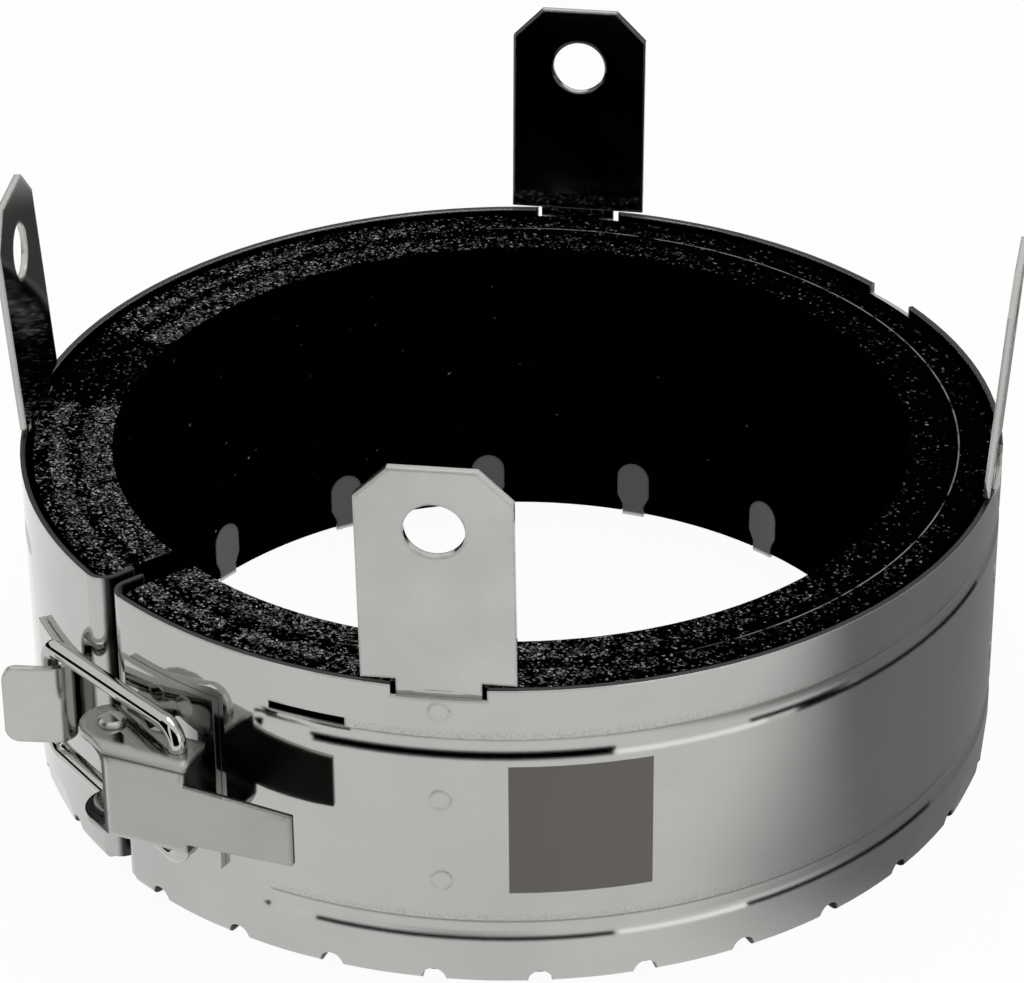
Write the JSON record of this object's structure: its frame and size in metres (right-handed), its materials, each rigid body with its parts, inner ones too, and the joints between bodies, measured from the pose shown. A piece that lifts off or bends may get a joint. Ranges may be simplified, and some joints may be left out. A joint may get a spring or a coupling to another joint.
{
  "type": "pipe fire collar",
  "caption": "Steel pipe fire collar with a layered intumescent lining, fixing lugs with holes and a toggle latch on the band.",
  "frame": {"origin": "on the pipe's axis, in the plane of the bottom flange", "axes": "+Z along the pipe's axis towards the lugs; -Y towards the front lug"},
  "size_m": [0.1435, 0.1472, 0.0804],
  "materials": {
    "bright_steel": "bright cold-rolled stainless sheet, nearly a mirror",
    "steel": "smooth stainless sheet",
    "graphite": "black graphite strip with pale sparkling flecks"
  },
  "bodies": {
    "collar": {"band_casing": "bright_steel", "intumescent_layer_1": "graphite", "intumescent_layer_2": "graphite", "intumescent_layer_3": "graphite", "intumescent_layer_4": "graphite", "intumescent_layer_5": "graphite", "lug_front": "steel", "lug_right": "steel", "lug_back": "steel", "lug_left": "steel", "keeper_hook": "steel", "latch_base": "steel", "pivot_rivet": "steel"},
    "lever": {"latch_lever": "bright_steel"},
    "bail": {"bail_wire": "bright_steel"}
  },
  "joints": [
    {"name": "lever_hinge", "type": "hinge", "parent": "collar", "child": "lever", "pos_m": [-0.04568, -0.06098, 0.025], "axis": [0, 0, -1], "range_deg": [0, 90]},
    {"name": "bail_hinge", "type": "hinge", "parent": "lever", "child": "bail", "pos_m": [-0.03561, -0.06658, 0.025], "axis": [0, 0, -1], "range_deg": [-60.3, 0]}
  ],
  "couplings": [
    {"joint": "bail_hinge", "follows": "lever_hinge", "ratio": -0.67}
  ]
}
